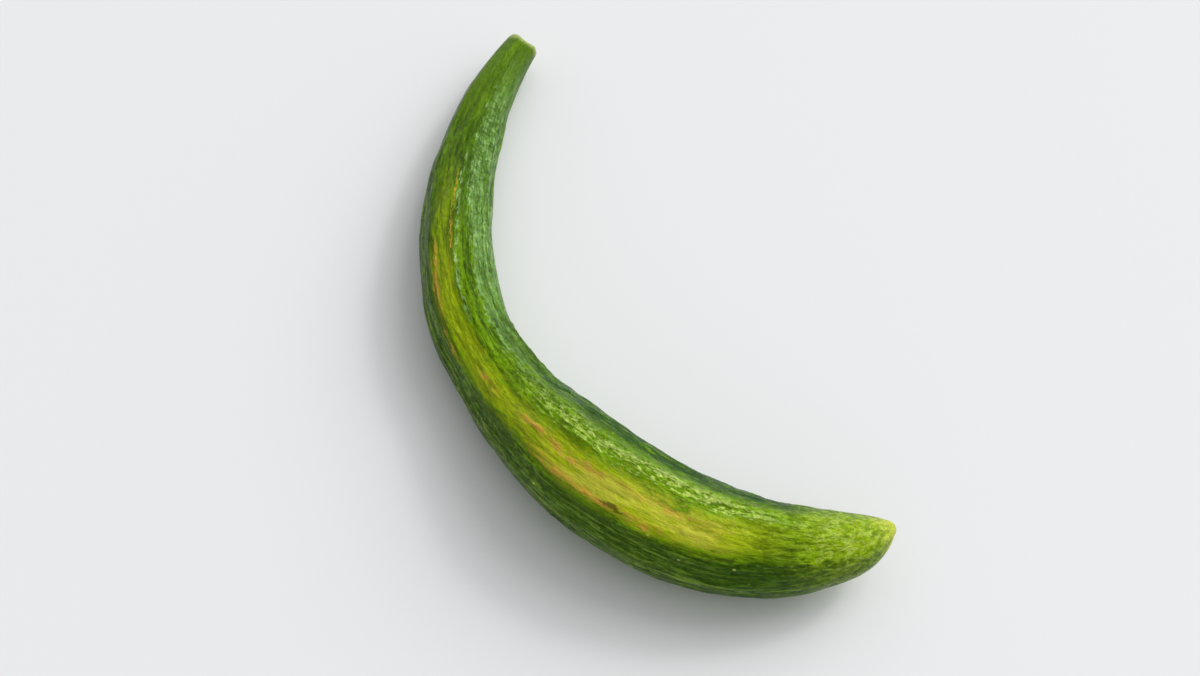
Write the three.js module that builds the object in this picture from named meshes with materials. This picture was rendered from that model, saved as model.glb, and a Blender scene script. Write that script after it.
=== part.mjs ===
// A long, strongly curved cucumber, grown as one piece and lying on a level surface.
// Millimetres, +Z up. The origin is on the surface, under the middle of the fruit's box.
import * as THREE from 'three';

// Length along the spine, from the cut stem end to the blossom scar, and the stretches in it.
const LENGTH = 368;
const NECK_LENGTH = 170;
const SWELL_LENGTH = 75;

// Girth: the radius at the stem end, at the end of the neck and at the belly.
const STEM_RADIUS = 7.3;
const NECK_RADIUS = 16.6;
const BELLY_RADIUS = 22.2;

// Curve of the spine, seen from above: a steady curl, a sharper bend and an upturned end.
const STEM_HEADING = -118.4;
const CURL_PER_MM = 0.274;
const BEND = { turn: 8.9, from: 132, length: 38 };
const UPTURN = { turn: 37.9, from: 174 };

// Towards the blossom end: how late the taper and the upturn set in, and how blunt the tip is.
const END_LATENESS = 2.7;
const END_BLUNTNESS = 0.6;

// How the underside lies: three touching places, pressed flat, with low arches between them.
const FIRST_TOUCH = 70;
const TOUCH_SPACING = 115;
const LAST_TOUCH = FIRST_TOUCH + 2 * TOUCH_SPACING;
const ARCH_HEIGHT = 1.2;
const PRESSED_FLAT = 0.5;

// Lengthwise ridges, as degrees round the section: 0 is the top, 90 the inside of the bend.
const RIDGES = [-105, -82, -46, 2, 22, 62, 102, 140, 180, 220];
const RIDGE_WIDTH = 12;
const RIDGE_HEIGHT = 0.9;

// Low swellings in the skin between and along the ridges.
const LUMP_HEIGHT = 0.35;
const LUMP_SPACING = 55;

// Relief grows in along the neck and dies away towards the blossom end.
const RELIEF_GROWS = 60;
const RELIEF_FADES = { from: 310, length: 50 };

// The cut stem end: it leans inward, and has a dished face inside a rounded, notched rim.
const STEM_LEAN = { by: 1, length: 45 };
const RIM_RADIUS = 5.8;
const RIM_LENGTH = 2.6;
const DISH_DEPTH = 2.2;
const NOTCH = { depth: 2.2, around: 22, width: 34, reach: 3.5 };

// The blossom end: a fuller outer side, then a small blunt nub, the scar.
const CHIN = { height: 1, at: 353, length: 9 };
const NUB_RADIUS = 2.5;
const NUB_LENGTH = 2;

// Fineness of the faceted skin.
const SIDES = 56;
const RINGS = 78;
const HEADING_STEPS = 96;

// A smooth step from 0 to 1 as x goes from 0 to 1.
function ease(x) {
  return THREE.MathUtils.smoothstep(x, 0, 1);
}

// The radius of the fruit at a distance along its spine, before any relief.
function girth(along) {
  const neck = 1 - (1 - Math.min(along / NECK_LENGTH, 1)) ** 2;
  const swell = ease((along - NECK_LENGTH) / SWELL_LENGTH);
  const widest = NECK_LENGTH + SWELL_LENGTH;
  const taper = THREE.MathUtils.clamp((along - widest) / (LENGTH - widest), 0, 1);
  const radius = STEM_RADIUS + (NECK_RADIUS - STEM_RADIUS) * neck + (BELLY_RADIUS - NECK_RADIUS) * swell;
  return radius * (1 - taper ** END_LATENESS) ** END_BLUNTNESS;
}

// The direction of the spine on the surface, in radians from +X.
function heading(along) {
  const bend = BEND.turn * ease((along - BEND.from) / BEND.length);
  const upturned = Math.max(along - UPTURN.from, 0) / (LENGTH - UPTURN.from);
  const upturn = UPTURN.turn * upturned ** END_LATENESS;
  return THREE.MathUtils.degToRad(STEM_HEADING + CURL_PER_MM * along + bend + upturn);
}

// How high the spine runs over the surface: it stays level past the outer touching places.
function spineHeight(along) {
  const held = THREE.MathUtils.clamp(along, FIRST_TOUCH, LAST_TOUCH);
  const arch = (1 - Math.cos((2 * Math.PI * (held - FIRST_TOUCH)) / TOUCH_SPACING)) / 2;
  return girth(held) + ARCH_HEIGHT * arch - PRESSED_FLAT;
}

// The middle of the section, found by walking along the heading from the stem end.
function spinePoint(along) {
  const inward = heading(along) + Math.PI / 2;
  const lean = STEM_LEAN.by * Math.max(1 - along / STEM_LEAN.length, 0) ** 2;
  const point = new THREE.Vector3(lean * Math.cos(inward), lean * Math.sin(inward), spineHeight(along));
  const step = along / HEADING_STEPS;
  for (let i = 0; i < HEADING_STEPS; i++) {
    const direction = heading((i + 0.5) * step);
    point.x += Math.cos(direction) * step;
    point.y += Math.sin(direction) * step;
  }
  return point;
}

// A soft bump of height 1 where x is 0, about 1 wide to each side.
function bump(x) {
  return Math.exp(-(x ** 2));
}

// Degrees from one direction round the section to another, the short way.
function degreesOff(around, direction) {
  return THREE.MathUtils.euclideanModulo(THREE.MathUtils.radToDeg(around) - direction + 180, 360) - 180;
}

// 1 on the crest of a ridge, falling to 0 in the furrows between them.
function ridgeShare(around) {
  let share = 0;
  for (const ridge of RIDGES) share += bump(degreesOff(around, ridge) / RIDGE_WIDTH);
  return Math.min(share, 1);
}

// How much the skin stands off the plain girth: furrows cut in, lumps go both ways.
function relief(along, around) {
  const grown = ease(along / RELIEF_GROWS) * (1 - ease((along - RELIEF_FADES.from) / RELIEF_FADES.length));
  const phase = (2 * Math.PI * along) / LUMP_SPACING;
  const lump = Math.sin(phase + 2 * Math.sin(3 * around)) * Math.cos(4 * around + 0.4 * phase);
  return grown * (LUMP_HEIGHT * lump - RIDGE_HEIGHT * (1 - ridgeShare(around)));
}

// How much fuller the outer side is just before the blossom scar.
function chin(along, around) {
  return CHIN.height * bump((along - CHIN.at) / CHIN.length) * Math.max(-Math.sin(around), 0);
}

// How far the notch pushes the cut back along the spine: most at the rim, less over the face and skin.
function notch(along, around, plainRadius) {
  const onFace = plainRadius <= RIM_RADIUS && along <= DISH_DEPTH;
  const share = onFace ? (plainRadius / RIM_RADIUS) ** 2 : Math.exp(-along / NOTCH.reach);
  return NOTCH.depth * share * bump(degreesOff(around, NOTCH.around) / NOTCH.width);
}

// Half outline of the straightened fruit, from the dished stem face to the tip of the nub.
function straightProfile() {
  const outline = [
    new THREE.Vector2(0, DISH_DEPTH),
    new THREE.Vector2(RIM_RADIUS * 0.6, DISH_DEPTH * 0.7),
    new THREE.Vector2(RIM_RADIUS, 0),
    new THREE.Vector2((RIM_RADIUS + STEM_RADIUS) / 2, RIM_LENGTH * 0.1),
    new THREE.Vector2(STEM_RADIUS, RIM_LENGTH * 0.45),
  ];
  const skinLength = LENGTH - NUB_LENGTH - RIM_LENGTH;
  for (let i = 0; i <= RINGS; i++) {
    const share = i / RINGS;
    const along = RIM_LENGTH + skinLength * (0.6 * share + 0.4 * Math.sin((share * Math.PI) / 2));
    outline.push(new THREE.Vector2(girth(along), along));
  }
  outline.push(new THREE.Vector2(NUB_RADIUS, LENGTH - NUB_LENGTH * 0.4));
  outline.push(new THREE.Vector2(NUB_RADIUS * 0.6, LENGTH));
  outline.push(new THREE.Vector2(0, LENGTH - NUB_LENGTH * 0.1));
  return outline;
}

// The fruit's skin: a turned body, given its relief, bent along the spine and pressed on the surface.
function cucumberGeometry() {
  const geometry = new THREE.LatheGeometry(straightProfile(), SIDES);
  const position = geometry.getAttribute('position');
  const turned = new THREE.Vector3();
  for (let i = 0; i < position.count; i++) {
    turned.fromBufferAttribute(position, i);
    const along = turned.y;
    const plainRadius = Math.hypot(turned.x, turned.z);
    const around = Math.atan2(-turned.x, turned.z);
    const offAxis = Math.min(plainRadius / STEM_RADIUS, 1);
    const radius = plainRadius + (relief(along, around) + chin(along, around)) * offAxis;
    const middle = spinePoint(along);
    const direction = heading(along);
    const sideways = radius * Math.sin(around);
    const back = notch(along, around, plainRadius);
    position.setXYZ(
      i,
      middle.x - sideways * Math.sin(direction) + back * Math.cos(direction),
      middle.y + sideways * Math.cos(direction) + back * Math.sin(direction),
      Math.max(middle.z + radius * Math.cos(around), 0),
    );
  }
  geometry.computeBoundingBox();
  const centre = geometry.boundingBox.getCenter(new THREE.Vector3());
  geometry.translate(-centre.x, -centre.y, 0);
  geometry.computeVertexNormals();
  return geometry;
}

const skin = new THREE.MeshStandardMaterial({ color: 0x4c7a16, roughness: 0.42, metalness: 0 });

const cucumber = new THREE.Mesh(cucumberGeometry(), skin);
cucumber.name = 'cucumber';

const group = new THREE.Group();
group.add(cucumber);

export default group;
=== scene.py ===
# %% [markdown]
# # A curved cucumber
# This lesson finishes one long, strongly curved cucumber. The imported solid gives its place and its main
# form. Here the skin is grown again as one finer mesh with Geometry Nodes, and painted with procedural
# nodes only. The scene is in metres, in the frame of the solid: +Z is up and the fruit lies on z = 0.
# The sizes of the fruit are written in millimetres.

# %% Load the solid and keep its box
import math

import bpy
import numpy as np
from mathutils import Matrix, Vector


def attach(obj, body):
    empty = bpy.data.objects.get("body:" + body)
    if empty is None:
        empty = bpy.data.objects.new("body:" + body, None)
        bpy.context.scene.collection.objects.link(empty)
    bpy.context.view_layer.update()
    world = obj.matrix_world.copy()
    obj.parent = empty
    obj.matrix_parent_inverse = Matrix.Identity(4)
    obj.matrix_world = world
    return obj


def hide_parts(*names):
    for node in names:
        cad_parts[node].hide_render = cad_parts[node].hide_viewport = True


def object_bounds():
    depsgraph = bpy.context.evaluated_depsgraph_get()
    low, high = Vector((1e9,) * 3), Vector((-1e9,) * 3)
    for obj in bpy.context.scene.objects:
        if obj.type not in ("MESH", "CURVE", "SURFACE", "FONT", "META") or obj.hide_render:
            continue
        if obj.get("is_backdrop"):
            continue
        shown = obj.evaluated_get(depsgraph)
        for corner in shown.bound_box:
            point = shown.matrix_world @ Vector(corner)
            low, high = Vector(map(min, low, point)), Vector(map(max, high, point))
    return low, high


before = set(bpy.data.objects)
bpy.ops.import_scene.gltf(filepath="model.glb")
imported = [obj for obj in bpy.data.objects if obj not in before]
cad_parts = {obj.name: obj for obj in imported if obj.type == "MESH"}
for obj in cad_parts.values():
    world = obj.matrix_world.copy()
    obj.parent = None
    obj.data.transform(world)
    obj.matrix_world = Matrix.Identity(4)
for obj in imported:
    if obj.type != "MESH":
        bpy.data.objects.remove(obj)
cad_low, cad_high = (Vector(corner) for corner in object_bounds())
print("solid's box in mm:", [round(1000 * (high - low), 1) for low, high in zip(cad_low, cad_high)])

# %% [markdown]
# ## The rule the fruit grew by
# A cucumber is a bent bottle: a slim neck at the stem, a belly, and a blunt blossom end. It could be
# modelled by hand from a cylinder, but a rule is shorter and exact: how thick it is, and which way its
# spine heads, at each distance along the spine. These are the same sizes that the solid was made from.

# %% Driving sizes, in millimetres and degrees
MM = 0.001
LENGTH, NECK_LENGTH, SWELL_LENGTH = 368.0, 170.0, 75.0
STEM_RADIUS, NECK_RADIUS, BELLY_RADIUS = 7.3, 16.6, 22.2
STEM_HEADING, CURL_PER_MM = -118.4, 0.274
BEND_TURN, BEND_FROM, BEND_LENGTH = 8.9, 132.0, 38.0
UPTURN_TURN, UPTURN_FROM = 37.9, 174.0
END_LATENESS, END_BLUNTNESS = 2.7, 0.6
FIRST_TOUCH, TOUCH_SPACING = 70.0, 115.0
ARCH_HEIGHT, PRESSED_FLAT = 1.2, 0.5


def ease(x):
    """A smooth step from 0 to 1 as x goes from 0 to 1."""
    x = np.clip(x, 0, 1)
    return x * x * (3 - 2 * x)


def girth(along):
    """The radius at a distance along the spine, before any relief."""
    neck = 1 - (1 - np.clip(along / NECK_LENGTH, 0, 1)) ** 2
    swell = ease((along - NECK_LENGTH) / SWELL_LENGTH)
    widest = NECK_LENGTH + SWELL_LENGTH
    taper = np.clip((along - widest) / (LENGTH - widest), 0, 1)
    radius = STEM_RADIUS + (NECK_RADIUS - STEM_RADIUS) * neck + (BELLY_RADIUS - NECK_RADIUS) * swell
    return radius * (1 - taper**END_LATENESS) ** END_BLUNTNESS


def heading(along):
    """The direction of the spine, seen from above, in radians from +X."""
    upturned = np.clip(along - UPTURN_FROM, 0, None) / (LENGTH - UPTURN_FROM)
    bend = BEND_TURN * ease((along - BEND_FROM) / BEND_LENGTH)
    return np.radians(STEM_HEADING + CURL_PER_MM * along + bend + UPTURN_TURN * upturned**END_LATENESS)


def spine_height(along):
    """How high the spine runs: low arches between three touching places, and level past the outer two."""
    held = np.clip(along, FIRST_TOUCH, FIRST_TOUCH + 2 * TOUCH_SPACING)
    arch = (1 - np.cos(2 * np.pi * (held - FIRST_TOUCH) / TOUCH_SPACING)) / 2
    return girth(held) + ARCH_HEIGHT * arch - PRESSED_FLAT


print("belly", 2 * BELLY_RADIUS, "mm thick; spine", LENGTH, "mm long")

# %% [markdown]
# ## The rings of the skin
# The fruit is a stack of rings from the middle of the cut stem face, over its rim, along the skin and
# over the blossom scar. A Screw modifier could turn a drawn outline. A list made by formula needs no
# drawing, and sets the rings close together where the form turns quickly.

# %% Ring places and radii, straightened out
RIM_RADIUS, RIM_LENGTH, RIM_ROUNDNESS = 5.8, 2.6, 0.7
DISH_DEPTH, DISH_FLATNESS = 2.2, 3
NUB_RADIUS, NUB_LENGTH, NUB_ROUNDNESS, NUB_CROWDING = 2.5, 2.0, 0.6, 0.8
FACE_RINGS, RIM_RINGS, SKIN_RINGS, NUB_RINGS = 10, 9, 452, 10
# This share of the spacing is even. The rest crowds the rings towards the blossom end.
EVEN_SPACING = 0.6

share = np.linspace(0, 1, FACE_RINGS)
face_radius = RIM_RADIUS * share
face_along = DISH_DEPTH * (1 - share**DISH_FLATNESS)
turn = np.linspace(0, np.pi / 2, RIM_RINGS + 1)[1:]
rim_radius = RIM_RADIUS + (girth(RIM_LENGTH) - RIM_RADIUS) * np.sin(turn) ** RIM_ROUNDNESS
rim_along = RIM_LENGTH * (1 - np.cos(turn))
share = np.linspace(0, 1, SKIN_RINGS + 1)[1:]
spaced = EVEN_SPACING * share + (1 - EVEN_SPACING) * np.sin(share * np.pi / 2)
skin_along = RIM_LENGTH + (LENGTH - NUB_LENGTH - RIM_LENGTH) * spaced
turn = np.linspace(0, np.pi / 2, NUB_RINGS + 1)[1:]
shoulder = girth(LENGTH - NUB_LENGTH) - NUB_RADIUS
nub_radius = NUB_RADIUS * np.cos(turn) ** NUB_ROUNDNESS + shoulder * (1 - np.sin(turn)) ** 2
nub_radius[-1] = 0
nub_along = LENGTH - NUB_LENGTH * (1 - np.sin(turn) ** NUB_CROWDING)
ring_along = np.concatenate([face_along, rim_along, skin_along, nub_along])
ring_radius = np.concatenate([face_radius, rim_radius, girth(skin_along), nub_radius])
print(len(ring_along), "rings")

# %% [markdown]
# ## The spine
# The spine is the line that the middles of the rings follow. It could be drawn as a Bezier curve. Walking
# along the heading in small steps, and adding them up, gives the same line from the rule above. The stem
# end leans a little towards the inside of the bend.

# %% Walk along the spine
WALK_STEPS = 4000
STEM_LEAN, STEM_LEAN_LENGTH = 1.0, 45.0

walk = np.linspace(0, LENGTH, WALK_STEPS + 1)
middle_of_step = heading((walk[1:] + walk[:-1]) / 2)
walked_x = np.concatenate([[0], np.cumsum(np.cos(middle_of_step))]) * LENGTH / WALK_STEPS
walked_y = np.concatenate([[0], np.cumsum(np.sin(middle_of_step))]) * LENGTH / WALK_STEPS
spine_x = np.interp(ring_along, walk, walked_x)
spine_y = np.interp(ring_along, walk, walked_y)
spine_points = MM * np.stack([spine_x, spine_y, spine_height(ring_along)], 1)
lean = MM * STEM_LEAN * np.clip(1 - ring_along / STEM_LEAN_LENGTH, 0, 1) ** 2
spine_points[:, 0] -= lean * np.sin(heading(ring_along))
spine_points[:, 1] += lean * np.cos(heading(ring_along))
print("straight from end to end:", np.hypot(walked_x[-1], walked_y[-1]).round(1), "mm")

# %% [markdown]
# ## A string of points that carries the rings
# Geometry Nodes can sweep a ring along a string of points. Each point carries what its ring needs as
# attributes: its place along the fruit, its radius, its heading and its share of the notch in the cut.
# Python could also write every point of the skin itself, but then nothing could be changed in the tree
# afterwards.

# %% Build the string of points
NOTCH_REACH = 3.5


def add_numbers(mesh, name, values):
    """Gives each point of a mesh a number under this name."""
    mesh.attributes.new(name, "FLOAT", "POINT").data.foreach_set("value", np.asarray(values, np.float32))


spine_mesh = bpy.data.meshes.new("spine")
# The points are strung out straight, so that no two fall together. Their true places are an attribute.
strung_out = [(MM * number, 0, 0) for number in range(len(ring_along))]
spine_mesh.from_pydata(strung_out, [(i, i + 1) for i in range(len(strung_out) - 1)], [])
add_numbers(spine_mesh, "along", ring_along)
add_numbers(spine_mesh, "radius_mm", ring_radius)
add_numbers(spine_mesh, "heading", heading(ring_along))
add_numbers(spine_mesh, "ring_share", np.linspace(0, 1, len(ring_along)))
# The notch pushes the rim back most. Its share falls towards the middle of the face and along the skin.
face_share = np.linspace(0, 1, FACE_RINGS) ** 2
skin_share = np.exp(-ring_along[FACE_RINGS:] / NOTCH_REACH)
add_numbers(spine_mesh, "cut_share", np.concatenate([face_share, skin_share]))
true_places = spine_mesh.attributes.new("middle", "FLOAT_VECTOR", "POINT")
true_places.data.foreach_set("vector", spine_points.astype(np.float32).ravel())
spine = bpy.data.objects.new("spine", spine_mesh)
bpy.context.scene.collection.objects.link(spine)
print("string of", len(spine_mesh.vertices), "points")

# %% [markdown]
# ## A short way to write node formulas
# A relief or a colour pattern is a formula, and typing each Math node by hand hides it. The small class
# below stands for one wire in a node tree: adding or multiplying wires adds the nodes. The same helper
# serves the geometry tree and the material tree, since both know the same Math and Noise nodes.


# %% Wires that do arithmetic
class Wire:
    """One value flowing through a node tree."""

    def __init__(self, tree, socket):
        self.tree = tree
        self.socket = socket

    def __add__(self, other):
        return calculate(self.tree, "ADD", self, other)

    def __sub__(self, other):
        return calculate(self.tree, "SUBTRACT", self, other)

    def __rsub__(self, other):
        return calculate(self.tree, "SUBTRACT", other, self)

    def __mul__(self, other):
        return calculate(self.tree, "MULTIPLY", self, other)

    def __truediv__(self, other):
        return calculate(self.tree, "DIVIDE", self, other)

    # Sums and products are the same in either order.
    __radd__ = __add__
    __rmul__ = __mul__


def plug(tree, socket, value):
    """Links a wire to a socket, or sets the socket to a plain value."""
    if isinstance(value, Wire):
        tree.links.new(value.socket, socket)
    else:
        socket.default_value = value


def calculate(tree, operation, *values):
    """Adds one Math node to a tree."""
    node = tree.nodes.new("ShaderNodeMath")
    node.operation = operation
    for socket, value in zip(node.inputs, values):
        plug(tree, socket, value)
    return Wire(tree, node.outputs[0])


def function(operation, wire, *others):
    """Sends a wire through one Math node of its tree."""
    return calculate(wire.tree, operation, wire, *others)


print("wire helpers:", [helper.__name__ for helper in (plug, calculate, function)])

# %% [markdown]
# ## Soft steps
# Nothing on a fruit has a hard edge, so a zone is a smooth step up and a smooth step down. A Color Ramp
# node would do for one of them. As functions, steps can be multiplied with each other and with noises.


# %% Steps, bumps and vectors of wires
def step_up(wire, low, high):
    """0 below low, 1 above high, and a smooth step between them."""
    node = wire.tree.nodes.new("ShaderNodeMapRange")
    node.interpolation_type = "SMOOTHSTEP"
    plug(wire.tree, node.inputs["Value"], wire)
    plug(wire.tree, node.inputs["From Min"], low)
    plug(wire.tree, node.inputs["From Max"], high)
    return Wire(wire.tree, node.outputs["Result"])


def step_down(wire, low, high):
    """1 below low, 0 above high, and a smooth step between them."""
    return 1 - step_up(wire, low, high)


def between(wire, low, high, soft):
    """1 between low and high and 0 outside them, fading from soft before each of them to soft past it."""
    return step_up(wire, low - soft, low + soft) * step_down(wire, high - soft, high + soft)


def blend(start, end, share):
    """Goes from start to end as share goes from 0 to 1."""
    return start + (end - start) * share


def bump_at_zero(wire):
    """A soft bump of height 1 where the wire is 0, about 1 wide to each side."""
    return function("EXPONENT", wire * wire * -1.0)


def vector(x, y, z):
    """Joins three numbers into one vector."""
    node = x.tree.nodes.new("ShaderNodeCombineXYZ")
    for socket, value in zip(node.inputs, (x, y, z)):
        plug(x.tree, socket, value)
    return Wire(x.tree, node.outputs[0])


def split(wire):
    """Takes a vector apart into its three numbers."""
    node = wire.tree.nodes.new("ShaderNodeSeparateXYZ")
    plug(wire.tree, node.inputs[0], wire)
    return [Wire(wire.tree, socket) for socket in node.outputs]


print("step helpers:", [helper.__name__ for helper in (step_up, step_down, between, blend, bump_at_zero)])

# %% [markdown]
# ## Noises that run along the skin
# Streaks and wrinkles of a cucumber run lengthwise, round every bend. Noise in plain space would cut across
# them. So noise is looked up at the place that a point has on the straightened fruit, stretched along it.
# Warts, and the painted glints on them, come from the same scattered points.

# %% Noises on the straightened skin
WART_SPACING_ALONG, WART_SPACING_ACROSS, WART_SHIFT = 7.5, 6.5, 2.0


class Skin:
    """A point of the straightened skin, in millimetres: along it, and up and inward in its section."""

    def __init__(self, along, up, inward):
        self.along = along
        self.up = up
        self.inward = inward

    def stretched(self, along_size, across_size, shift=0.0):
        """Noise coordinates with features of these sizes; shift picks another part of the noise."""
        return vector(self.along / along_size + shift, self.up / across_size, self.inward / across_size)


def noise(place, detail=2.0, roughness=0.5):
    """Soft noise from 0 to 1, with features about one unit across."""
    node = place.tree.nodes.new("ShaderNodeTexNoise")
    plug(place.tree, node.inputs["Vector"], place)
    node.inputs["Scale"].default_value = 1.0
    node.inputs["Detail"].default_value = detail
    node.inputs["Roughness"].default_value = roughness
    return Wire(place.tree, node.outputs[0])


def creased(noise_wire):
    """1 on the winding lines where a noise passes its middle, falling away from them."""
    return 1 - function("ABSOLUTE", 2 * noise_wire - 1)


def to_nearest_wart(skin_point):
    """The distance to the nearest of many scattered points, where 1 is about the spacing of the warts."""
    node = skin_point.along.tree.nodes.new("ShaderNodeTexVoronoi")
    place = skin_point.stretched(WART_SPACING_ALONG, WART_SPACING_ACROSS, WART_SHIFT)
    plug(place.tree, node.inputs["Vector"], place)
    node.inputs["Scale"].default_value = 1.0
    return Wire(place.tree, node.outputs["Distance"])


print("warts about", WART_SPACING_ALONG, "mm apart along the skin")

# %% [markdown]
# ## Painting the skin
# The colour of this fruit follows its form. One side is bleached to a yellow band, the outer flank is dark,
# the inner flank has a grey-green bloom of wax near the stem and is dark green further on, and pale flecks
# run along one ridge. Stem end and blossom end are plainer and paler. Some coats are painted light: a sheen
# in the bloom, highlights on a crest, glints on the warts, and shade in cracks, in a furrow and along the
# finest wrinkles. A painted image would do, but noise along and across the straightened skin gives the same
# streaks with no picture and no seam. Each step below lays one more coat over the colour so far.


# %% Colours and how they are laid on
def srgb(red, green, blue):
    """A colour as a screen shows it, from 0 to 255, turned into the linear light that shaders use."""
    screen = [level / 255 for level in (red, green, blue)]
    return tuple(s / 12.92 if s <= 0.04045 else ((s + 0.055) / 1.055) ** 2.4 for s in screen) + (1.0,)


def by_identifier(sockets):
    """A Mix node has sockets of the same name for each kind of value. Their identifiers differ."""
    return {socket.identifier: socket for socket in sockets}


def paint(under, over, share, opacity=1.0):
    """Lays one colour over another where share is near 1."""
    node = share.tree.nodes.new("ShaderNodeMix")
    node.data_type = "RGBA"
    sockets = by_identifier(node.inputs)
    plug(share.tree, sockets["Factor_Float"], share * opacity)
    plug(share.tree, sockets["A_Color"], under)
    plug(share.tree, sockets["B_Color"], over)
    return Wire(share.tree, by_identifier(node.outputs)["Result_Color"])


def shaded(colour, share):
    """Darkens or lightens a colour."""
    node = share.tree.nodes.new("ShaderNodeVectorMath")
    node.operation = "SCALE"
    plug(share.tree, node.inputs[0], colour)
    plug(share.tree, node.inputs["Scale"], share)
    return Wire(share.tree, node.outputs[0])


# The deep green also serves as painted shade, the wax colour is partly a painted sheen, the pale wax colour
# is a painted highlight, and the fleck colour also paints glints.
GREEN, LIVELY_GREEN, DEEP_GREEN_AND_SHADE = srgb(66, 100, 0), srgb(100, 136, 2), srgb(38, 76, 0)
FLANK_DARK, FLANK_STREAK = srgb(68, 100, 10), srgb(110, 140, 48)
INNER_DARK, BELLY_GREEN = srgb(26, 70, 0), srgb(100, 132, 30)
WAX_AND_SHEEN, PALE_PAINTED_HIGHLIGHT = srgb(90, 128, 58), srgb(142, 174, 108)
SUN_YELLOW, PALE_YELLOW = srgb(170, 186, 22), srgb(206, 200, 72)
TAN, BROWN = srgb(194, 146, 60), srgb(74, 42, 20)
FLECK_AND_GLINT, BLOSSOM_GREEN = srgb(184, 202, 104), srgb(138, 164, 16)
TIP_YELLOW, CUT_FLESH = srgb(188, 194, 60), srgb(196, 204, 132)
print("yellow of the sunned band, in linear light:", [round(level, 3) for level in SUN_YELLOW[:3]])

# %% [markdown]
# ## Where a point lies on the skin
# Every mark has its place on the fruit, so the material first needs to know where it is. A map could
# tell it, but a map has a seam. The mesh carries the straightened place of each point as an attribute
# instead. Places along are millimetres from the stem end. Places around are degrees: 0 is the top, 90
# the inside of the bend and -90 the outside.

# %% Material of the skin: places
skin = bpy.data.materials.new("waxy_cucumber_skin")
skin.use_nodes = True
tree = skin.node_tree
place_node = tree.nodes.new("ShaderNodeAttribute")
place_node.attribute_name = "skin_place"
along, up, inward = split(Wire(tree, place_node.outputs["Vector"]))
on_skin = Skin(along, up, inward)
around = calculate(tree, "ARCTAN2", inward, up) * math.degrees(1)


def grows(low, high):
    """0 nearer the stem than low, 1 past high."""
    return step_up(along, low, high)


def fades(low, high):
    """1 nearer the stem than low, 0 past high."""
    return step_down(along, low, high)


print("nodes in the skin material so far:", len(tree.nodes))

# %% [markdown]
# ## The noises that streak it
# The skin is streaked with fine fibres, dappled, and uneven over larger patches. One noise with much
# detail would look like cloud. Several noises of different stretch look grown, and adding them to the
# angle makes the edge of every zone drift and fray.

# %% Material of the skin: noises and streaks
# The range in degrees over which an edge drifts, and over which each noise frays it.
DRIFT, DAPPLE_FRAY, FIBRE_FRAY, FINE_FRAY = 24, 30, 22, 26
# A single streak keeps closer to its path than the edge of a zone does.
STREAK_DRIFT, STREAK_FRAY, STREAK_CORE, STREAK_SOFT_END = 0.5, 0.25, 0.3, 8

fibre = noise(on_skin.stretched(along_size=16, across_size=1.5), detail=5.0, roughness=0.62)
dapple = noise(on_skin.stretched(along_size=4.2, across_size=2.0, shift=3.0), detail=4.0, roughness=0.6)
patch = noise(on_skin.stretched(along_size=30, across_size=10, shift=5.0), detail=3.0)
fine = noise(on_skin.stretched(along_size=2.4, across_size=1.1, shift=17.0), detail=4.0, roughness=0.65)
net = creased(noise(on_skin.stretched(along_size=4.6, across_size=2.4, shift=13.0), detail=3.0))
drift = DRIFT * (noise(on_skin.stretched(along_size=45, across_size=30, shift=7.0)) - 0.5)
ragged = DAPPLE_FRAY * (dapple - 0.5) + FIBRE_FRAY * (fibre - 0.5) + FINE_FRAY * (fine - 0.5)
wandering = around + drift + ragged


def streak(path, width, low, high):
    """A thin streak that follows a path round the section, in degrees, from low to high along it."""
    off_path = function("ABSOLUTE", around + STREAK_DRIFT * drift + STREAK_FRAY * ragged - path)
    return step_down(off_path, STREAK_CORE * width, width) * between(along, low, high, STREAK_SOFT_END)


print(sum(node.type == "TEX_NOISE" for node in tree.nodes), "noises")

# %% [markdown]
# ## The greens
# The ground is a middle green, livelier along the top of the belly and broken by deep streaks. The outer
# flank is darker and streaked. Each zone could have a material of its own, but then its edge would be a
# hard line of faces. As coats in one material, zones have frayed edges and share their streaks. In each
# coat, a pair such as 0.38, 0.6 is the noise level from which it starts and the level where it is full.

# %% Material of the skin: ground and outer flank
LIVELY_ZONE, OUTER_FLANK = (-12, 30), (-124, -49)
# Near the blossom end, the dark of the outer flank reaches this many degrees higher.
FLANK_RISE = 11
PALE_STREAK, PALE_STREAK_WIDTH = -83, 9

patchy = step_up(patch + 0.1 * grows(230, 300), 0.38, 0.6)
colour = paint(GREEN, LIVELY_GREEN, patchy * blend(0.5, 1.0, grows(90, 230)))
lively_zone = between(wandering, *LIVELY_ZONE, soft=7) * grows(165, 215)
colour = paint(colour, LIVELY_GREEN, lively_zone, opacity=0.7)
deep_streaks = step_down(fibre, 0.38, 0.5) * blend(0.2, 0.65, grows(40, 90))
colour = paint(colour, DEEP_GREEN_AND_SHADE, deep_streaks * blend(1.0, 0.4, lively_zone))
flank_rise = FLANK_RISE * between(along, 300, 330, soft=12)
outer_flank = between(wandering - flank_rise, *OUTER_FLANK, soft=8) * blend(0.45, 1.0, grows(40, 80))
colour = paint(colour, FLANK_DARK, outer_flank)
flank_streaks = step_up(fibre, 0.48, 0.6) * blend(0.8, 0.6, grows(160, 230))
colour = paint(colour, FLANK_STREAK, outer_flank * flank_streaks)
colour = paint(colour, DEEP_GREEN_AND_SHADE, outer_flank * step_down(dapple, 0.4, 0.52), opacity=0.7)
colour = paint(colour, DEEP_GREEN_AND_SHADE, outer_flank * grows(285, 312), opacity=0.65)
pale_streak = streak(PALE_STREAK, PALE_STREAK_WIDTH, 205, 335) * step_up(fibre, 0.4, 0.6)
colour = paint(colour, FLANK_STREAK, pale_streak, opacity=0.6)
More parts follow.
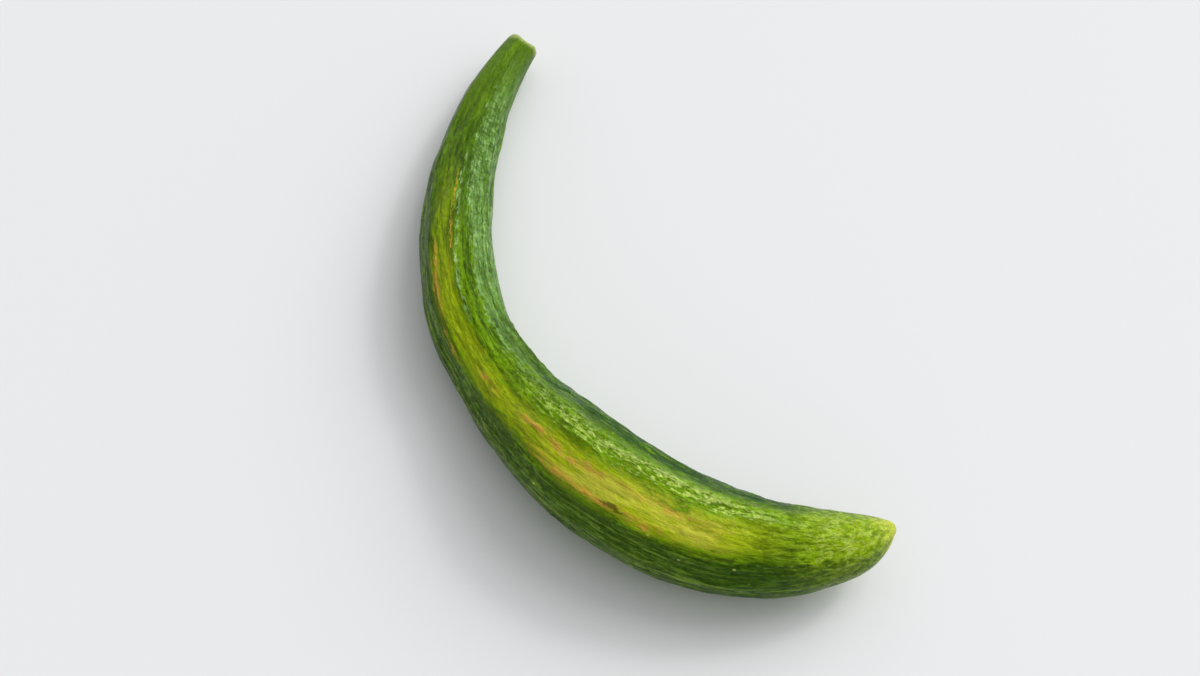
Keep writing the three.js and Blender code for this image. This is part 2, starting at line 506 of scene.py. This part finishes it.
print("outer flank from", OUTER_FLANK[0], "to", OUTER_FLANK[1], "degrees")

# %% [markdown]
# ## The inner flank and the underside
# Past the bend the inner flank is the darkest green, with a few lively streaks. The underside is made a
# little paler. A gradient by height would be quicker, but it would ignore the way the fruit is turned,
# and the angle round the section does not.

# %% Material of the skin: inner flank and underside
INNER_FLANK, UNDERSIDE_FROM = (31, 104), (114, 138)

inner_flank = between(wandering, *INNER_FLANK, soft=8) * grows(150, 215) * fades(322, 352)
inner_patches = step_up(0.5 * fibre + 0.5 * patch, 0.42, 0.52)
colour = paint(colour, INNER_DARK, inner_flank * blend(0.4, 1.0, inner_patches))
inner_streaks = step_up(0.6 * fibre + 0.4 * dapple, 0.51, 0.6)
colour = paint(colour, LIVELY_GREEN, inner_flank * inner_streaks, opacity=0.55)
underside = step_up(function("ABSOLUTE", wandering), *UNDERSIDE_FROM)
colour = paint(colour, BELLY_GREEN, underside * step_up(fibre, 0.38, 0.6), opacity=0.85)
print("inner flank from", INNER_FLANK[0], "to", INNER_FLANK[1], "degrees")

# %% [markdown]
# ## The bloom of wax and its painted sheen
# The inner side of the neck wears a thin grey-green bloom of wax, cracked crosswise where the bend squeezed
# it. Its grey-green is partly a painted sheen, the reflection of the window, with pale streaks of painted
# highlight. Its cracks are painted shade. Beside it a pale crest with a painted highlight runs over a dark
# furrow, which is partly painted shade. A second, rougher shader could lie over the green. A paler coat
# with a little more roughness looks the same and is simpler.

# %% Material of the skin: bloom and painted sheen, furrow and crest
BLOOM_AND_SHEEN_ZONE, LATE_BLOOM_AND_SHEEN_ZONE = (23, 100), (17, 30)
FURROW, FURROW_WIDTH = 15, 7
# The crest slips towards the outside by so many degrees for each millimetre along.
CREST_START, CREST_SLIP, CREST_WIDTH = 22, 0.16, 4.5

mottle = 0.5 * fibre + 0.5 * dapple
# Painted sheen: the grey-green of the bloom is partly a painted reflection of the window.
bloom_and_sheen = between(wandering, *BLOOM_AND_SHEEN_ZONE, soft=4) * grows(5, 55) * step_down(along + 0.5 * around, 170, 225)
colour = paint(colour, WAX_AND_SHEEN, bloom_and_sheen * blend(0.3, 1.0, step_up(mottle, 0.4, 0.54)))
# Painted highlight: pale streaks in the bloom.
colour = paint(colour, PALE_PAINTED_HIGHLIGHT, bloom_and_sheen * step_up(mottle, 0.51, 0.6), opacity=0.5)
# Painted shade: dark cracks across the bloom.
painted_crack_shade = creased(noise(on_skin.stretched(along_size=3.4, across_size=9.0, shift=23.0)))
colour = paint(colour, DEEP_GREEN_AND_SHADE, bloom_and_sheen * step_up(painted_crack_shade, 0.86, 0.98) * blend(0.6, 0.1, grows(70, 150)))
# Painted shade, over a deeper green: the dark furrow.
furrow_and_shade = streak(FURROW, FURROW_WIDTH, 70, 205)
colour = paint(colour, DEEP_GREEN_AND_SHADE, furrow_and_shade * blend(0.6, 0.2, grows(112, 130)))
# Painted highlight: pale dashes along the crest.
crest_glint = streak(CREST_START - CREST_SLIP * along, CREST_WIDTH, 76, 160)
colour = paint(colour, PALE_PAINTED_HIGHLIGHT, crest_glint * step_up(dapple, 0.46, 0.6), opacity=0.7)
# Painted sheen: a fainter grey-green band past the bend.
late_bloom_and_sheen = between(wandering, *LATE_BLOOM_AND_SHEEN_ZONE, soft=5) * grows(160, 200) * fades(270, 320)
colour = paint(colour, WAX_AND_SHEEN, late_bloom_and_sheen * step_up(dapple, 0.42, 0.58), opacity=0.5)
print("bloom from", BLOOM_AND_SHEEN_ZONE[0], "to", BLOOM_AND_SHEEN_ZONE[1], "degrees")

# %% [markdown]
# ## The sunned band
# One side is bleached to a yellow band with blotchy edges, as if by the sun. A gradient would give a
# clean stripe. Here the distance from the band's wandering middle is frayed first and cut off after
# that, so islands of green and yellow form along its edge.

# %% Material of the skin: sunned band
# The band's middle, in degrees. It slips outwards past the bend and comes back near the blossom end.
BAND_MIDDLE, BAND_SLIP, BAND_RETURN = -19, -6, 10
BAND_HALF_WIDTH, BAND_WIDENS = 15, 4
BAND_EDGE_INSIDE, BAND_EDGE_OUTSIDE, BAND_BLOTCHES = 9, 8, 30

band_middle = BAND_MIDDLE + BAND_SLIP * grows(110, 170) + BAND_RETURN * grows(280, 315)
off_middle = function("ABSOLUTE", around + drift - band_middle)
half_width = BAND_HALF_WIDTH + BAND_WIDENS * between(along, 240, 290, soft=20)
blotched = off_middle + ragged + BAND_BLOTCHES * (patch - 0.5)
in_band = step_down(blotched, half_width - BAND_EDGE_INSIDE, half_width + BAND_EDGE_OUTSIDE)
strength = 0.35 * grows(66, 110) + 0.3 * grows(115, 145) + 0.35 * grows(205, 240)
sunned = in_band * strength * fades(290, 335)
colour = paint(colour, SUN_YELLOW, sunned * blend(0.7, 1.0, step_up(fibre, 0.4, 0.55)))
pale_blotches = step_up(0.6 * patch + 0.4 * dapple, 0.44, 0.58)
colour = paint(colour, PALE_YELLOW, sunned * grows(195, 240) * pale_blotches, opacity=0.7)
print("band about", 2 * BAND_HALF_WIDTH, "degrees wide")

# %% [markdown]
# ## Tan scars
# Where the skin was rubbed while it grew, thin corky scars follow the band. Strips of mesh could lie on
# the skin, but these scars are flush with it. So they are streaks of paint, broken up by the fibres.

# %% Material of the skin: tan scars
# For each scar: its path in degrees, its width, where it starts and ends along the fruit, its strength.
SCARS = (
    (-4 - 0.24 * along, 7, 122, 172, 0.8),
    (-20, 7, 213, 244, 1.0),
    (-15, 5, 240, 300, 0.7),
    (-39, 6, 226, 282, 0.8),
    (-27, 5, 185, 196, 1.0),
)
LONG_SCAR_START, LONG_SCAR_SLIP, LONG_SCAR_WIDTH = 18, 0.2, 3.0

scars = 0.0
for path, width, start, end, scar_strength in SCARS:
    scars = streak(path, width, start, end) * scar_strength + scars
veins = step_up(fibre + 0.6 * (dapple - 0.5), 0.44, 0.58)
colour = paint(colour, TAN, function("MINIMUM", scars, 1.0) * veins, opacity=0.95)
long_scar = streak(LONG_SCAR_START - LONG_SCAR_SLIP * along, LONG_SCAR_WIDTH, 88, 138)
colour = paint(colour, TAN, long_scar * step_up(0.6 * fine + 0.4 * fibre, 0.42, 0.58), opacity=0.75)
print(len(SCARS) + 1, "scars")

# %% [markdown]
# ## Flecks, and painted glints on the warts
# Pale flecks crowd along one ridge of the belly, and small pale specks on the warts are painted glints.
# They could be scattered as pieces of their own, but they are only a change of colour, so they are painted.

# %% Material of the skin: flecks and painted glints
FLECK_ZONE = (8, 24)

fleck_zone = between(wandering, *FLECK_ZONE, soft=5) * grows(165, 270) * fades(300, 335)
outlined = step_up(net, 0.86, 0.97) * step_up(dapple, 0.4, 0.52)
colour = paint(colour, FLECK_AND_GLINT, (fleck_zone * 0.5 + lively_zone * 0.1) * outlined)
colour = paint(colour, FLECK_AND_GLINT, fleck_zone * step_up(0.6 * dapple + 0.4 * fine, 0.47, 0.58), opacity=0.45)
# Painted highlight: pale glints on the warts, strongest on the outer flank.
painted_wart_glints = step_down(to_nearest_wart(on_skin), 0.04, 0.1) * grows(90, 160)
colour = paint(colour, FLECK_AND_GLINT, painted_wart_glints * blend(0.25, 0.7, outer_flank))
print("flecks from", FLECK_ZONE[0], "to", FLECK_ZONE[1], "degrees")

# %% [markdown]
# ## The blossom end and one blemish
# The blossom end turns a pale yellow-green up to its scar, most of all on top. One small brown blemish
# marks the edge of the band. A dab with a texture brush would be as good. An ellipse frayed by the fine
# noise needs no picture.

# %% Material of the skin: blossom end and blemish
BLOSSOM_MIDDLE, BLOSSOM_TOP = -6, (20, 62)
# Millimetres along and degrees around.
BLEMISH_ALONG, BLEMISH_AROUND = 262, -37
BLEMISH_HALF_LENGTH, BLEMISH_HALF_WIDTH, BLEMISH_FRAY = 4.2, 3.0, 6

blossom_top = step_down(function("ABSOLUTE", around - BLOSSOM_MIDDLE), *BLOSSOM_TOP)
blossom_end = step_up(along + 0.3 * ragged, 316, 350) * blend(0.35, 1.0, blossom_top)
colour = paint(colour, BLOSSOM_GREEN, blossom_end * blend(0.45, 1.0, step_up(dapple, 0.42, 0.56)))
colour = paint(colour, FLECK_AND_GLINT, blossom_end * outlined, opacity=0.45)
colour = paint(colour, TIP_YELLOW, step_up(along + 14 * (dapple - 0.5), 356, 369), opacity=0.9)
off_along = (along - BLEMISH_ALONG) / BLEMISH_HALF_LENGTH
off_around = (around - BLEMISH_AROUND) / BLEMISH_HALF_WIDTH
off_blemish = off_along * off_along + off_around * off_around + BLEMISH_FRAY * (fine - 0.5)
colour = paint(colour, BROWN, step_down(off_blemish, 0.0, 1.6), opacity=0.75)
print("blemish", BLEMISH_ALONG, "mm from the stem end")

# %% [markdown]
# ## The cut stem
# The stem was cut, so its face shows pale flesh with a ring of green vessels, and the rim is worn pale.
# A second material on those faces would do, with a hard edge. The distance from the axis and the place
# along give the same zones, and keep the edge soft.

# %% Material of the skin: cut stem
VESSELS, VESSEL_RING = 10, (3.3, 4.3)
FACE_ENDS, RIM_EDGE = (2.3, 3.0), 0.9

from_axis = function("SQRT", up * up + inward * inward)
inside_rim = step_down(from_axis + 2 * (fine - 0.5), RIM_RADIUS, RIM_RADIUS + RIM_EDGE)
cut_face = fades(*FACE_ENDS) * inside_rim
worn_rim = step_down(along + 4 * (dapple - 0.5), 1.6, 4.4)
colour = paint(colour, CUT_FLESH, function("MAXIMUM", cut_face, worn_rim * 0.6))
spokes = step_up(function("COSINE", around * (VESSELS * math.radians(1))), 0.1, 0.8)
vessels = between(from_axis, *VESSEL_RING, soft=0.5) * spokes
colour = paint(colour, LIVELY_GREEN, cut_face * (vessels * 0.6 + 0.35 * step_up(from_axis, 4.6, 5.8)))
print(VESSELS, "vessels in the cut face")

# %% [markdown]
# ## Gloss and fine wrinkles
# Fresh skin is waxy: a soft half gloss, with lengthwise wrinkles too fine for the mesh. A clear coat would
# look like varnish, so the gloss is one low specular with a roughness that changes with the dapple. It is
# tinted green, because a white one lays a grey haze over a colour this strong. The finest wrinkles are a
# bump map, and a grain in the colour that is their painted light and shade. The larger ones are real
# relief, made further on.

# %% Material of the skin: gloss, grain and bump
SPECULAR, SPECULAR_TINT = 0.15, (0.8, 1.0, 0.2, 1.0)
LEAST_ROUGHNESS, DAPPLE_ROUGHNESS, BLOOM_ROUGHNESS = 0.12, 0.25, 0.1
WRINKLE_SHADE_CONTRAST = 0.85
BUMP_STRENGTH, BUMP_HEIGHT = 0.95, 1.1

shader = tree.nodes["Principled BSDF"]
shader.inputs["Specular IOR Level"].default_value = SPECULAR
shader.inputs["Specular Tint"].default_value = SPECULAR_TINT
# Painted shade and painted highlight: the grain darkens and lightens the colour along the finest wrinkles,
# less on the sunned band and at both ends.
painted_wrinkle_shade = step_up(0.55 * fine + 0.45 * fibre, 0.38, 0.62) - 0.5
smoother = 0.65 * sunned + 0.4 * blossom_end + 0.6 * fades(30, 75)
plug(tree, shader.inputs["Base Color"], shaded(colour, 1 + painted_wrinkle_shade * (WRINKLE_SHADE_CONTRAST - smoother)))
roughness = LEAST_ROUGHNESS + DAPPLE_ROUGHNESS * dapple + BLOOM_ROUGHNESS * bloom_and_sheen
plug(tree, shader.inputs["Roughness"], roughness)
bump = tree.nodes.new("ShaderNodeBump")
bump.inputs["Strength"].default_value = BUMP_STRENGTH
bump.inputs["Distance"].default_value = BUMP_HEIGHT * MM
plug(tree, bump.inputs["Height"], 0.6 * fibre + 0.8 * dapple + 0.4 * fine)
tree.links.new(bump.outputs["Normal"], shader.inputs["Normal"])
print("skin material has", len(tree.nodes), "nodes")

# %% [markdown]
# ## Growing the skin with Geometry Nodes
# The tree sweeps a ring along the string of points and then sets each point of it in place. Sculpting
# could do this once, but the tree can be grown again at any fineness. Its sizes are named inputs, in
# millimetres, and in degrees for the width of a ridge.

# %% The tree's inputs
SIDES = 192
SIZES = {
    "Ridge height": 0.9,
    "Ridge width": 12.0,
    "Lump height": 0.35,
    "Wrinkle depth": 0.4,
    "Cross wrinkle depth": 0.9,
    "Wart height": 0.3,
    "Chin height": 1.0,
    "Notch depth": 2.2,
}

grow = bpy.data.node_groups.new("grow_cucumber_skin", "GeometryNodeTree")
grow.interface.new_socket("Geometry", in_out="INPUT", socket_type="NodeSocketGeometry")
grow.interface.new_socket("Sides", in_out="INPUT", socket_type="NodeSocketInt")
for name in SIZES:
    grow.interface.new_socket(name, in_out="INPUT", socket_type="NodeSocketFloat")
grow.interface.new_socket("Skin", in_out="INPUT", socket_type="NodeSocketMaterial")
grow.interface.new_socket("Geometry", in_out="OUTPUT", socket_type="NodeSocketGeometry")
given = grow.nodes.new("NodeGroupInput")
size = {name: Wire(grow, given.outputs[name]) for name in SIZES}
print("inputs:", [item.name for item in grow.interface.items_tree if item.in_out == "INPUT"])

# %% [markdown]
# ## The sweep
# The bare skin is a tube of rings. A curve with a bevel would give one too, but then a point could not
# tell how far round its ring it is. Here that share of a turn is kept before the sweep, and everything
# that follows is worked out from it.

# %% Sweep a ring along the string
string = grow.nodes.new("GeometryNodeMeshToCurve")
grow.links.new(given.outputs["Geometry"], string.inputs[0])
ring = grow.nodes.new("GeometryNodeCurvePrimitiveCircle")
grow.links.new(given.outputs["Sides"], ring.inputs["Resolution"])
keep_turn = grow.nodes.new("GeometryNodeCaptureAttribute")
keep_turn.capture_items.new("FLOAT", "Turn")
grow.links.new(ring.outputs["Curve"], keep_turn.inputs["Geometry"])
round_ring = grow.nodes.new("GeometryNodeSplineParameter")
grow.links.new(round_ring.outputs["Factor"], keep_turn.inputs["Turn"])
sweep = grow.nodes.new("GeometryNodeCurveToMesh")
grow.links.new(string.outputs["Curve"], sweep.inputs["Curve"])
grow.links.new(keep_turn.outputs["Geometry"], sweep.inputs["Profile Curve"])


def carried(name, data_type="FLOAT"):
    """What each point of the string carries under this name."""
    node = grow.nodes.new("GeometryNodeInputNamedAttribute")
    node.data_type = data_type
    node.inputs["Name"].default_value = name
    return Wire(grow, node.outputs["Attribute"])


turn_share = Wire(grow, keep_turn.outputs["Turn"])
angle = turn_share * (2 * math.pi)
sine, cosine = function("SINE", angle), function("COSINE", angle)
ring_place, plain_radius = carried("along"), carried("radius_mm")
grown_place = Skin(ring_place, plain_radius * cosine, plain_radius * sine)
print("rings of", SIDES, "sides along", len(ring_along), "points")

# %% [markdown]
# ## Ridges and lumps
# Ten ridges run lengthwise with furrows between them, and low lumps swell in both. A displacement
# texture could carry them, but a sum of soft bumps round the section follows the same rule as the solid,
# so the two agree. A slow noise makes the ridges wander a little.

# %% Relief: ridges and lumps
RIDGES = (-105, -82, -46, 2, 22, 62, 102, 140, 180, 220)
RIDGE_WANDER = 14
LUMP_SPACING, LUMPS_AROUND, LUMP_TWIST = 55.0, 4, 0.4
LUMP_SWAY, LUMP_SWAYS_AROUND = 2, 3


def short_way(wire):
    """An angle brought between -180 and 180 degrees."""
    return calculate(wire.tree, "WRAP", wire, 180.0, -180.0)


wander = noise(grown_place.stretched(along_size=50, across_size=400)) - 0.5
degrees = angle * math.degrees(1) + wander * RIDGE_WANDER
ridge_share = 0.0
for ridge in RIDGES:
    ridge_share = bump_at_zero(short_way(degrees - ridge) / size["Ridge width"]) + ridge_share
ridge_share = function("MINIMUM", ridge_share, 1.0)
phase = ring_place * (2 * math.pi / LUMP_SPACING)
lump = function("SINE", phase + LUMP_SWAY * function("SINE", angle * LUMP_SWAYS_AROUND))
lump = lump * function("COSINE", angle * LUMPS_AROUND + LUMP_TWIST * phase)
relief = size["Lump height"] * lump - size["Ridge height"] * (1 - ridge_share)
print(len(RIDGES), "ridges")

# %% [markdown]
# ## Wrinkles and warts
# Long creases run along the skin, short ones cross the inner side of the neck where the bend squeezed
# it, and small warts dot the belly. A bump map alone would leave the outline smooth, so they are real
# relief. It grows in along the neck and dies away towards the blossom end.

# %% Relief: wrinkles and warts
CROSS_WRINKLES, CROSS_WRINKLES_END = (22, 84), (150, 230)
WART_TOP, WARTS_FROM = (0.05, 0.2), (90, 150)
RELIEF_GROWS, RELIEF_FADES, LEAST_RELIEF = (0.0, 60.0), (310.0, 360.0), 0.12

lengthwise = noise(grown_place.stretched(along_size=26, across_size=5.0, shift=20.0))
creases = step_down(function("ABSOLUTE", 2 * lengthwise - 1), 0.0, 0.3)
crosswise = noise(grown_place.stretched(along_size=3.2, across_size=7.0, shift=31.0)) - 0.5
squeezed = between(short_way(degrees), *CROSS_WRINKLES, soft=8) * step_down(ring_place, *CROSS_WRINKLES_END)
warts = step_down(to_nearest_wart(grown_place), *WART_TOP) * step_up(ring_place, *WARTS_FROM)
relief = relief - size["Wrinkle depth"] * (creases - 0.5)
relief = relief + 2 * size["Cross wrinkle depth"] * crosswise * squeezed
relief = relief + size["Wart height"] * warts
grown = step_up(ring_place, *RELIEF_GROWS) * step_down(ring_place, *RELIEF_FADES)
relief = relief * blend(LEAST_RELIEF, 1.0, grown)
print("wrinkles", SIZES["Wrinkle depth"], "mm deep, warts", SIZES["Wart height"], "mm high")

# %% [markdown]
# ## Chin, notch and resting places
# The outer side is fuller just before the blossom scar, the cut of the stem is notched, and the underside
# is pressed flat where it rests. A Boolean could cut the flat places. Keeping every point at or above the
# surface does the same and leaves the rings whole.

# %% Where each point of a ring goes
CHIN_AT, CHIN_LENGTH = 353, 9
NOTCH_AROUND, NOTCH_WIDTH = 22, 34

outer_side = function("MAXIMUM", sine * -1.0, 0.0)
chin = size["Chin height"] * bump_at_zero((ring_place - CHIN_AT) / CHIN_LENGTH) * outer_side
# Relief dies away towards the axis, so that each end closes in one point.
off_axis = function("MINIMUM", plain_radius / STEM_RADIUS, 1.0)
radius = plain_radius + (relief + chin) * off_axis
middle_x, middle_y, middle_z = split(carried("middle", "FLOAT_VECTOR"))
ring_heading = carried("heading")
ahead_x, ahead_y = function("COSINE", ring_heading), function("SINE", ring_heading)
sideways = radius * sine * MM
notch_share = carried("cut_share") * bump_at_zero((short_way(degrees) - NOTCH_AROUND) / NOTCH_WIDTH)
notch = size["Notch depth"] * notch_share * MM
place = vector(
    middle_x - sideways * ahead_y + notch * ahead_x,
    middle_y + sideways * ahead_x + notch * ahead_y,
    function("MAXIMUM", middle_z + radius * cosine * MM, 0.0),
)
print("notch", SIZES["Notch depth"], "mm deep in the cut stem")

# %% [markdown]
# ## Closing the skin
# A real skin is one closed sheet. The first and last rings have no radius, so merging points that fall
# together closes both ends, where caps would leave a flat disc. The sweep leaves its faces pointing
# inwards, so they are turned round. The straightened place is stored for the paint.

# %% Set each point in place and close the ends
MERGE_DISTANCE = 0.002


def through(node_type, geometry, **settings):
    """Sends the geometry through one more node."""
    node = grow.nodes.new(node_type)
    for name, value in settings.items():
        setattr(node, name, value)
    grow.links.new(geometry, node.inputs[0])
    return node


def store(geometry, name, wire, data_type):
    """Names a value on each point, so that it is still there after the tree has run."""
    node = through("GeometryNodeStoreNamedAttribute", geometry, data_type=data_type, domain="POINT")
    node.inputs["Name"].default_value = name
    plug(grow, node.inputs["Value"], wire)
    return node.outputs["Geometry"]


skin_place = vector(grown_place.along, grown_place.up, grown_place.inward)
shape = store(sweep.outputs["Mesh"], "turn_share", turn_share, "FLOAT")
shape = store(shape, "skin_place", skin_place, "FLOAT_VECTOR")
setter = through("GeometryNodeSetPosition", shape)
plug(grow, setter.inputs["Position"], place)
merge = through("GeometryNodeMergeByDistance", setter.outputs["Geometry"])
merge.inputs["Distance"].default_value = MERGE_DISTANCE * MM
outward = through("GeometryNodeFlipFaces", merge.outputs["Geometry"])
smooth = through("GeometryNodeSetShadeSmooth", outward.outputs["Mesh"])
realize = through("GeometryNodeRealizeInstances", smooth.outputs["Geometry"])
coat = through("GeometryNodeSetMaterial", realize.outputs["Geometry"])
grow.links.new(given.outputs["Skin"], coat.inputs["Material"])
done = grow.nodes.new("NodeGroupOutput")
grow.links.new(coat.outputs["Geometry"], done.inputs["Geometry"])
print("growing tree has", len(grow.nodes), "nodes")

# %% [markdown]
# ## From tree to plain mesh
# The tree grows the skin on the string of points. It could stay there as a modifier, but a plain mesh
# exports the same everywhere. So the grown result is kept as a mesh, and the string is thrown away.

# %% Grow it, and keep the result
modifier = spine.modifiers.new("grow", "NODES")
modifier.node_group = grow
inputs = {item.name: item.identifier for item in grow.interface.items_tree if item.in_out == "INPUT"}
modifier[inputs["Sides"]] = SIDES
for name, value in SIZES.items():
    modifier[inputs[name]] = value
modifier[inputs["Skin"]] = skin
grown_spine = spine.evaluated_get(bpy.context.evaluated_depsgraph_get())
skin_mesh = bpy.data.meshes.new_from_object(grown_spine)
skin_mesh.name = "cucumber_skin"
spine.modifiers.remove(modifier)
bpy.data.objects.remove(spine)
print("grown:", len(skin_mesh.vertices), "points")

# %% [markdown]
# ## Setting it in the solid's place
# The mesh starts at the stem end of its own spine. The object could be moved, but pieces stay at the
# origin here. So it is moved once, in its mesh, until the middle of its box is over the solid's.

# %% Move the mesh into place
points = np.empty(3 * len(skin_mesh.vertices), np.float32)
skin_mesh.vertices.foreach_get("co", points)
points = points.reshape(-1, 3)
box_middle = (points.min(0) + points.max(0)) / 2
cad_middle = (cad_low + cad_high) / 2
move = Vector((cad_middle.x - box_middle[0], cad_middle.y - box_middle[1], 0))
skin_mesh.transform(Matrix.Translation(move))
print("moved by", [round(distance / MM, 1) for distance in move], "mm")

# %% [markdown]
# ## A map for baking
# To bake the paint later, the skin needs to be laid out flat, as if it were slit along the top and
# unrolled. Smart UV Project would cut it into many islands. Round the fruit one way and ring by ring the
# other way is one island, on which no face overlaps another.

# %% Lay out the map
MAP_MARGIN = 0.004

corner_point = np.empty(len(skin_mesh.loops), np.int32)
skin_mesh.loops.foreach_get("vertex_index", corner_point)


def read_numbers(name):
    """The numbers that the points of the skin carry under this name."""
    values = np.empty(len(skin_mesh.vertices), np.float32)
    skin_mesh.attributes[name].data.foreach_get("value", values)
    return values


across = read_numbers("turn_share")[corner_point]
lengthways = read_numbers("ring_share")[corner_point]
for face in skin_mesh.polygons:
    corners = slice(face.loop_start, face.loop_start + face.loop_total)
    # A face over the slit has corners on both edges of the map. Those at its start go past its end.
    if across[corners].max() - across[corners].min() > 0.5:
        across[corners] += (across[corners] < 0.5) * 1.0
map_points = MAP_MARGIN + (1 - 2 * MAP_MARGIN) * np.stack([across, lengthways], 1)
flat_map = skin_mesh.uv_layers.new(name="OFBake")
flat_map.data.foreach_set("uv", map_points.astype(np.float32).ravel())
print("map runs from", map_points.min(0).round(3), "to", map_points.max(0).round(3))

# %% [markdown]
# ## The finished piece
# The fruit is one piece, so the skin is one object. Attributes that only the growing needed could stay, but
# they would make the file larger, so they are taken off. Then it rides on the only body, and the solid that
# it stands for is hidden.

# %% Make the object and tie it to the frame
for name in ("turn_share", "ring_share", "cut_share", "along", "radius_mm", "heading", "middle"):
    if name in skin_mesh.attributes:
        skin_mesh.attributes.remove(skin_mesh.attributes[name])
cucumber = bpy.data.objects.new("cucumber_skin", skin_mesh)
bpy.context.scene.collection.objects.link(cucumber)
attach(cucumber, "root")
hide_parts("cucumber")
skin_mesh.calc_loop_triangles()
print("skin:", len(skin_mesh.vertices), "points,", len(skin_mesh.loop_triangles), "triangles")

# %% [markdown]
# ## The floor
# A plain pale floor shows the shadow and lets the skin speak. A curved backdrop would hide its far edge.
# A very wide floor does that too, also for a low camera. It lies a hair below the fruit, so that the two
# never share a plane.

# %% Floor
FLOOR_HALF, FLOOR_DROP = 40.0, 0.0002
FLOOR_COLOUR, FLOOR_ROUGHNESS = (0.765, 0.765, 0.77, 1), 0.7

floor_mesh = bpy.data.meshes.new("floor")
floor_signs = ((-1, -1), (1, -1), (1, 1), (-1, 1))
floor_corners = [(x * FLOOR_HALF, y * FLOOR_HALF, -FLOOR_DROP) for x, y in floor_signs]
floor_mesh.from_pydata(floor_corners, [], [(0, 1, 2, 3)])
floor = bpy.data.objects.new("floor", floor_mesh)
bpy.context.scene.collection.objects.link(floor)
floor_paint = bpy.data.materials.new("pale_floor")
floor_paint.use_nodes = True
floor_shader = floor_paint.node_tree.nodes["Principled BSDF"]
floor_shader.inputs["Base Color"].default_value = FLOOR_COLOUR
floor_shader.inputs["Roughness"].default_value = FLOOR_ROUGHNESS
floor_mesh.materials.append(floor_paint)
floor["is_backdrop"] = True
print("floor", 2 * FLOOR_HALF, "m wide")

# %% [markdown]
# ## The light
# The light comes from the back right, as a large window would give it, so the shadow falls softly to the
# left and a little towards the viewer. A ring of lamps would be more even, but would flatten the ridges.
# Two suns of different width make the window, and the sky is brighter on its side.

# %% Light
WINDOW_DIRECTION = Vector((0.72, 0.5, 0.74)).normalized()
# For each light: its name, its strength and the angle it fills, in degrees.
WINDOW_LIGHTS = (("window_back_right", 1.4, 45), ("lamp_in_window", 0.45, 10))
SKY_COLOUR, SKY_STRENGTH = (0.97, 0.985, 1.0, 1), 0.44
WINDOW_GLOW, OVERHEAD_SHARE = 0.95, 0.3

for name, energy, spread in WINDOW_LIGHTS:
    light = bpy.data.lights.new(name, "SUN")
    light.energy = energy
    light.angle = math.radians(spread)
    holder = bpy.data.objects.new(name, light)
    holder.rotation_euler = WINDOW_DIRECTION.to_track_quat("Z", "Y").to_euler()
    bpy.context.scene.collection.objects.link(holder)
sky = bpy.data.worlds.new("soft_room")
sky.use_nodes = True
direction = Wire(sky.node_tree, sky.node_tree.nodes.new("ShaderNodeTexCoord").outputs["Generated"])
east, north, height = split(direction)
towards_window = east * WINDOW_DIRECTION.x + north * WINDOW_DIRECTION.y + height * OVERHEAD_SHARE
glow = WINDOW_GLOW * function("MAXIMUM", towards_window, 0.0)
background = sky.node_tree.nodes["Background"]
background.inputs["Color"].default_value = SKY_COLOUR
plug(sky.node_tree, background.inputs["Strength"], SKY_STRENGTH + glow)
bpy.context.scene.world = sky
bpy.context.scene.view_settings.view_transform = "Standard"
print(len(WINDOW_LIGHTS), "lights in the window")

# %% [markdown]
# ## The camera
# The fruit is seen from above, as by someone standing over it: a 50 mm lens, 70 cm away and 60 degrees
# above the surface. A longer lens from further off would flatten it. The camera is placed by formula, so
# that its distance and its angle can be changed on their own.

# %% Camera
LOOK_AT = Vector((-18.2, -14.1, 0)) * MM
CAMERA_AWAY, CAMERA_ELEVATION = 0.7, math.radians(60)
SENSOR_WIDTH, FOCAL_LENGTH, NEAREST_SEEN = 36, 50, 0.01

lens = bpy.data.cameras.new("camera")
lens.sensor_width = SENSOR_WIDTH
lens.lens = FOCAL_LENGTH
lens.clip_start = NEAREST_SEEN
camera = bpy.data.objects.new("camera", lens)
towards_camera = Vector((0, -math.cos(CAMERA_ELEVATION), math.sin(CAMERA_ELEVATION)))
camera.location = LOOK_AT + CAMERA_AWAY * towards_camera
camera.rotation_euler = (math.pi / 2 - CAMERA_ELEVATION, 0, 0)
bpy.context.scene.collection.objects.link(camera)
bpy.context.scene.camera = camera
print("camera at", [round(distance, 3) for distance in camera.location], "m")
